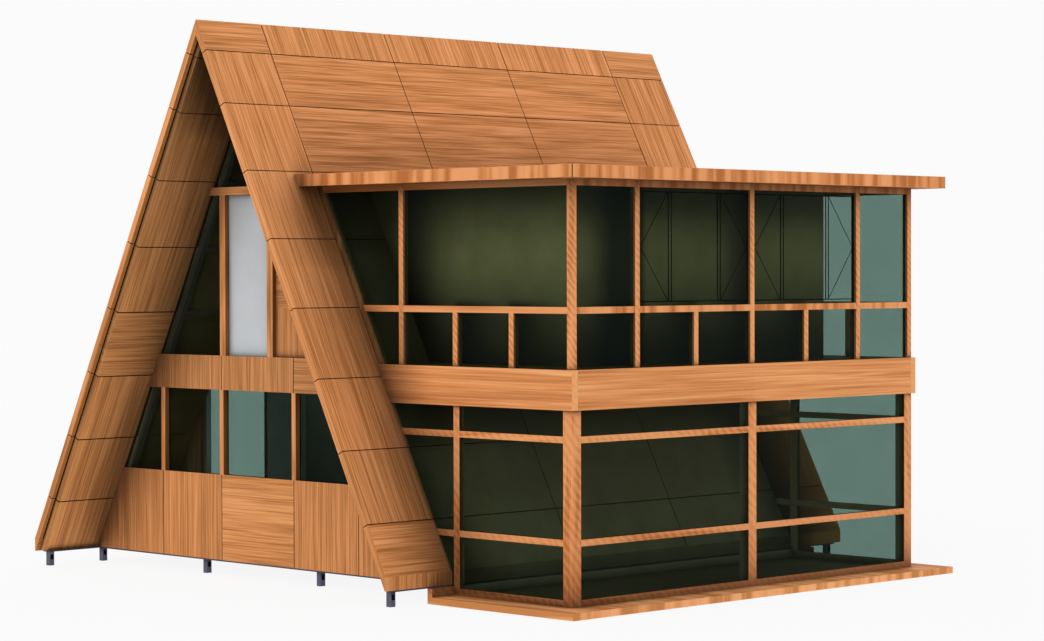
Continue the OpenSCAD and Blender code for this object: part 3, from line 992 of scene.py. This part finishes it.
@dataclass
class Casements:
    """Slim dark frames on two upper side bays: a fixed light between two opening ones, and their marks."""

    bar: float = 0.014
    proud: float = 0.010
    wire: float = 0.012
    wing: float = 0.597
    pair: float = 0.06
    inset: float = 0.05
    stile: float = 0.034
    eased: float = 0.15

    def bay(self, bm: bmesh.types.BMesh, face_x: float, y: Span, z: Span) -> None:
        """Builds the bars of one bay on the outer face of its pane.

        Args:
            bm: Mesh that takes the bars.
            face_x: Outer face of the pane.
            y: First and last place of the bay's clear width.
            z: Lower and upper edge of the pane.
        """
        mid_x = face_x + self.proud / 2
        low, high = z[0] + self.inset, z[1] - self.inset
        middle = (low + high) / 2
        half = self.bar / 2
        edge = self.bar * self.eased
        inner = (y[0] + self.wing, y[1] - self.wing)
        left, right = (inner[0], inner[0] + self.pair), (inner[1] - self.pair, inner[1])
        upright = (y[0] + self.stile, *left, *right, y[1] - self.stile)
        for place in upright:
            size = (self.proud, self.bar, high - low)
            add_bar(bm, size, Matrix.Translation((mid_x, place, middle)), edge)
        for height in (low + half, high - half):
            for a, b in zip(upright, upright[1:]):
                size = (self.proud, b - a - self.bar, self.bar)
                add_bar(bm, size, Matrix.Translation((mid_x, (a + b) / 2, height)), edge)
        wings = ((upright[0] + half, upright[1] - half), (upright[5] - half, upright[4] + half))
        for hinge, side in wings:
            for height in (low + self.bar, high - self.bar):
                run = Vector((0, side - hinge, height - middle))
                turn = Matrix.Rotation(math.atan2(run.z, run.y), 4, "X")
                centre = Vector((mid_x - self.proud / 4, (side + hinge) / 2, (height + middle) / 2))
                size = (self.proud / 2, run.length - 2 * self.wire, self.wire)
                add_bar(bm, size, Matrix.Translation(centre) @ turn, self.wire * self.eased)

    def build(self, dresser: Dresser, face_x: float, bays: list[Span], z: Span) -> None:
        """Builds the frames of the bays as one piece.

        Args:
            dresser: Takes the piece.
            face_x: Outer face of the panes.
            bays: First and last place of each bay's clear width.
            z: Lower and upper edge of the panes.
        """
        # Dark anodised bars, matt so that they stay thin black lines on the panes.
        finish = BoardPaint(
            "dark_anodised_bars", "#060704", mottle_mm=60.0, depth=0.2, roughness=0.85, bump_mm=0.1,
            specular=0.05,
        ).material()
        bm = bmesh.new()
        for y in bays:
            self.bay(bm, face_x, y, z)
        dresser.piece("casement_bars", bm, finish, "base_dark")


@dataclass
class Extension:
    """Glazed extension: deck, posts, rails, band, flat roof and the inner room."""

    axis_x: float
    wall_x: float = 6.285
    wall_y: float = 3.6
    slim: float = 0.09
    rail: float = 0.088
    band_d: float = 0.11
    band_out: float = 0.045
    pane_in: float = 0.034
    bay: float = 2.345
    mitre: float = 0.010
    side_slip: float = 0.95
    front_slip: float = 0.96
    second_reach: float = 0.7
    second_deep: float = 0.4
    side_reach: float = 0.84
    front_reach: float = 1.12
    sill_drop: float = 0.28
    sill_reach: float = 1.05
    sill_depth: float = 0.62
    trim_corner_m: float = 1.4
    rail_shift: float = 0.4
    casements: Casements = field(default_factory=Casements)

    @property
    def face(self) -> float:
        """Gives the outer face of the side wall's posts."""
        return self.axis_x + self.wall_x

    def room_paint(self, sill: float) -> BoardPaint:
        """Describes the paint of the inner room's walls, shaded where posts and mullions stand before them.

        Args:
            sill: Upper edge of the sill rail.

        Returns:
            The finish.
        """
        low, high = (-FAR, sill - self.rail / 2), (sill - self.rail / 2, FAR)
        # Below the sill rail the whole wall lies in shade.
        edge = sill - self.sill_drop
        shades = [SoftShade(Grain.UP, edge, -self.sill_reach, depth=self.sill_depth, beyond=FAR)]
        # Second post: its shade is deep over half of the narrow first bay.
        edge = self.side_slip - self.bay - self.slim / 2 - self.second_deep
        deep = self.second_deep + self.slim
        for z in (low, high):
            shades.append(SoftShade(Grain.ALONG, edge, self.second_reach, z, beyond=deep))
        for step, z in ((-1, low), (0, low), (0, high), (1, low)):
            edge = step * self.bay / 2 - self.slim / 2 + self.side_slip
            shades.append(SoftShade(Grain.ALONG, edge, self.side_reach, z))
        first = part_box("upper_mullions")[0].x
        bay = (self.face - self.slim - first) / 2
        for step, z in ((-1, low), (-1, high), (0, low), (1, low)):
            edge = first + step * bay + self.slim - self.front_slip
            shades.append(SoftShade(Grain.ACROSS, edge, -self.front_reach, z))
        # Sand paint, olive behind the panes.
        return BoardPaint(
            "sand_painted_board", "#F4D094", corner_m=0.9, corner_tone=0.15, shades=tuple(shades)
        )

    def dress_trim(self, dresser: Dresser) -> None:
        """Dresses the slim posts, rails and sloping end members, primed on their room side.

        Args:
            dresser: Takes the finishes.
        """
        behind = self.wall_y - self.pane_in
        room = Zone(x=(-FAR, self.face - self.pane_in), y=(-behind, behind))
        inside = ((room, PRIMED_TIMBER),)
        inner = self.wall_y - self.slim
        side_rails = (Zone(x=(self.face - self.slim - HAIR, FAR), y=(-inner, inner)),)
        rails = Timber(
            "planed_pine_rails", TRIM_TONES, Grain.ACROSS, EDGE_GRAIN,
            origin=(0.0, 0.0, self.rail_shift), turned=side_rails, turned_grain=Grain.UP,
            patches=inside, corner_tone=0.4,
        ).material()
        dresser.node(rails, "upper_rails")
        for word, grain, turned, ripple_mm, weight, nodes in (
            ("lower_rails", Grain.ACROSS, side_rails, 75.0, 0.10, ("deck_upstand", "curb", "lower_rails")),
            ("lower_posts", Grain.UP, (), 75.0, 0.10, ("lower_posts",)),
            ("upper_posts", Grain.UP, (), 55.0, 0.15, ("upper_posts", "upper_mullions")),
        ):
            trim = Timber(
                f"planed_pine_{word}", TRIM_TONES, grain, BEAM_GRAIN, turned=turned,
                ripple_mm=ripple_mm, ripple_weight=weight, patches=inside,
                corner_m=self.trim_corner_m,
            ).material()
            dresser.node(trim, *nodes)
        # The sloping end members take darker tones as painted shade.
        rakes = Timber("planed_pine_rakes_in_painted_shade", SHADED_RAKE_TONES, Grain.UP, BEAM_GRAIN, patches=inside).material()
        dresser.node(rakes, "upper_rakes")

    def dress_plates(self, dresser: Dresser) -> None:
        """Dresses the deck, the band and the flat roof.

        Args:
            dresser: Takes the finishes.
        """
        inner = self.wall_y - self.slim
        floor = Zone(x=(-FAR, self.face - self.slim), y=(-inner, inner))
        deck = Timber(
            "planed_pine_deck", DECK_TONES, Grain.ACROSS, EDGE_GRAIN,
            turned=(Zone(x=(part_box("deck")[1].x - JOINT_DEPTH, FAR)),), turned_grain=Grain.UP,
            corner_m=0.2, patches=((floor, FLOOR_SHEET),),
        ).material()
        end = self.wall_y + self.band_out - self.band_d
        side = self.face + self.band_out - self.band_d
        cut = (self.face + self.band_out - 2 * HAIR, FAR)
        band = Timber(
            "planed_pine_band", BAND_TONES, Grain.ACROSS, BAND_GRAIN,
            turned=(Zone(x=(side - HAIR, FAR), y=(-end, end)),), corner_m=1.0, corner_tone=0.1,
            patches=((Zone(cut, (-FAR, -end)), END_GRAIN), (Zone(cut, (end, FAR)), END_GRAIN)),
        ).material()
        low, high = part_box("extension_roof")
        corner = (high.x - self.mitre, FAR)
        mitres = (
            (Zone(corner, (-FAR, low.y + self.mitre)), JOINT_FELT_AND_SHADOW_LINE),
            (Zone(corner, (high.y - self.mitre, FAR)), JOINT_FELT_AND_SHADOW_LINE),
        )
        roof = Timber(
            "planed_pine_roof_edge", TRIM_TONES, Grain.UP, EDGE_GRAIN,
            turned=(Zone(z=(high.z - JOINT_DEPTH, FAR)), Zone(z=(-FAR, low.z + JOINT_DEPTH))),
            turned_narrow=0.35, patches=mitres,
        ).material()
        dresser.node(deck, "deck")
        dresser.node(band, "band")
        dresser.node(roof, "extension_roof")

    def dress(self, dresser: Dresser, glass: Finish) -> None:
        """Dresses the extension and adds its casement bars.

        Args:
            dresser: Takes the finishes and the bars.
            glass: Finish of the panes.
        """
        self.dress_trim(dresser)
        self.dress_plates(dresser)
        dresser.node(glass, "lower_glass", "upper_glass")
        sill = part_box("upper_mullions")[1].z + self.rail
        dresser.node(self.room_paint(sill).material(), "room_wall", "room_ends")
        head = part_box("upper_rails")[1].z - self.rail
        half = self.slim / 2
        bays = [(half - self.bay, -half), (half, self.bay - half)]
        self.casements.build(dresser, self.face - self.pane_in, bays, (sill, head))


@dataclass
class Studio:
    """Pale floor, soft light and the camera at the photograph's view."""

    place: Vec3 = (30.6413, -30.118, 4.4967)
    yaw_deg: float = 45.1344
    pitch_deg: float = -1.0143
    roll_deg: float = -0.1323
    focal_px: float = 2843.36
    clip_end: float = 3000.0
    ambient: float = 0.55
    key_strength: float = 1.5
    key_turn_deg: float = 38.0
    key_rise_deg: float = 20.0
    key_spread_deg: float = 70.0
    white: str = "#FFFFFF"
    paper: str = "#FBFBFB"
    floor_tones: tuple[str, str] = ("#EFEFEF", "#F3F3F3")
    floor_mottle_mm: float = 2000.0
    floor_half: float = 400.0
    floor_drop: float = 0.003
    floor_share: float = 0.9

    def camera(self) -> None:
        """Makes the camera and hands it to the scene."""
        yaw, pitch, roll = (math.radians(a) for a in (self.yaw_deg, self.pitch_deg, self.roll_deg))
        level = math.cos(pitch)
        sight = Vector((-math.sin(yaw) * level, math.cos(yaw) * level, math.sin(pitch)))
        right = sight.cross(Vector((0, 0, 1))).normalized()
        up = right.cross(sight)
        turned = (
            math.cos(roll) * right + math.sin(roll) * up,
            math.cos(roll) * up - math.sin(roll) * right,
            -sight,
        )
        data = bpy.data.cameras.new("photo_camera")
        data.sensor_width = SENSOR_MM
        data.lens = self.focal_px * SENSOR_MM / IMAGE_WIDTH_PX
        data.clip_end = self.clip_end
        camera = bpy.data.objects.new("photo_camera", data)
        camera.matrix_world = Matrix.Translation(self.place) @ Matrix(turned).transposed().to_4x4()
        bpy.context.scene.collection.objects.link(camera)
        bpy.context.scene.camera = camera

    def seen(self, tree: Tree, share: float) -> Link:
        """Adds a factor for rays that see the paper-white backdrop.

        Args:
            tree: Takes the nodes.
            share: Factor for those rays.

        Returns:
            The factor, 0 for other rays.
        """
        path = add_node(tree, "LightPath").outputs
        sight, mirror, through = (path[f"Is {kind} Ray"] for kind in ("Camera", "Glossy", "Transmission"))
        flag = add_node(tree, "Math", {0: sight, 1: mirror}, operation="MAXIMUM")
        flag = add_node(tree, "Math", {0: flag, 1: through}, operation="MAXIMUM")
        return add_node(tree, "Math", {0: flag, 1: share}, operation="MULTIPLY")

    def floor(self) -> None:
        """Makes the pale floor, which keeps a soft shadow."""
        material, tree, place = new_material("pale_studio_floor")
        scale = 1000 / self.floor_mottle_mm
        mottle = add_node(tree, "TexNoise", {"Vector": place, "Scale": scale, "Detail": 2.0})
        stops = list(zip((NOISE_LOW, NOISE_HIGH), map(linear, self.floor_tones)))
        matt = add_node(
            tree, "BsdfDiffuse", {"Color": add_node(tree, "ValToRGB", {"Fac": mottle}, stops=stops)}
        )
        paper = add_node(tree, "Emission", {"Color": linear(self.white), "Strength": 1.0})
        shader = add_node(tree, "MixShader", {0: self.seen(tree, self.floor_share), 1: matt, 2: paper})
        add_node(tree, "OutputMaterial", {"Surface": shader})
        bm = bmesh.new()
        bmesh.ops.create_grid(bm, x_segments=1, y_segments=1, size=self.floor_half)
        bmesh.ops.translate(bm, vec=(0, 0, -self.floor_drop), verts=bm.verts)
        mesh = bpy.data.meshes.new("studio_floor")
        bm.to_mesh(mesh)
        bm.free()
        mesh.materials.append(material)
        floor = bpy.data.objects.new("studio_floor", mesh)
        bpy.context.scene.collection.objects.link(floor)
        # Without this the floor would count in the corner shade of the lowest pieces.
        floor.visible_shadow = False

    def light(self) -> None:
        """Makes the even room light, the soft key and the white backdrop."""
        world = bpy.data.worlds.new("studio")
        bpy.context.scene.world = world
        world.use_nodes = True
        tree = world.node_tree
        tree.nodes.clear()
        room = add_node(tree, "Background", {"Color": linear(self.white), "Strength": self.ambient})
        paper = add_node(tree, "Background", {"Color": linear(self.paper), "Strength": 1.0})
        shader = add_node(tree, "MixShader", {0: self.seen(tree, 1.0), 1: room, 2: paper})
        add_node(tree, "OutputWorld", {"Surface": shader})
        lamp = bpy.data.lights.new("soft_key", "SUN")
        lamp.energy = self.key_strength
        lamp.angle = math.radians(self.key_spread_deg)
        key = bpy.data.objects.new("soft_key", lamp)
        key.rotation_euler = (math.radians(90 - self.key_rise_deg), 0.0, math.radians(self.key_turn_deg))
        bpy.context.scene.collection.objects.link(key)

    def build(self) -> None:
        """Sets up floor, light, camera and the plain view transform."""
        bpy.context.scene.view_settings.view_transform = "Standard"
        self.floor()
        self.light()
        self.camera()
        LOG.info("studio ready")


def main() -> None:
    """Dresses the cabin piece by piece and sets up the studio."""
    logging.basicConfig(level=logging.INFO, format="%(message)s")
    dresser = Dresser(frame["nodes"])
    plinth_low, plinth_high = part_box("eave_plinths")
    axis_x = (plinth_low.x + plinth_high.x) / 2
    shelf_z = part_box("extension_roof")[0].z
    glass = TintedGlass().material()
    Roof(axis_x, CAD_BOX[1].z, shelf_z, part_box("upper_floor")[0].z).dress(dresser)
    Base().dress(dresser)
    Gable(axis_x).dress(dresser, glass)
    Extension(axis_x).dress(dresser, glass)
    Studio().build()


if __name__ == "__main__":
    main()
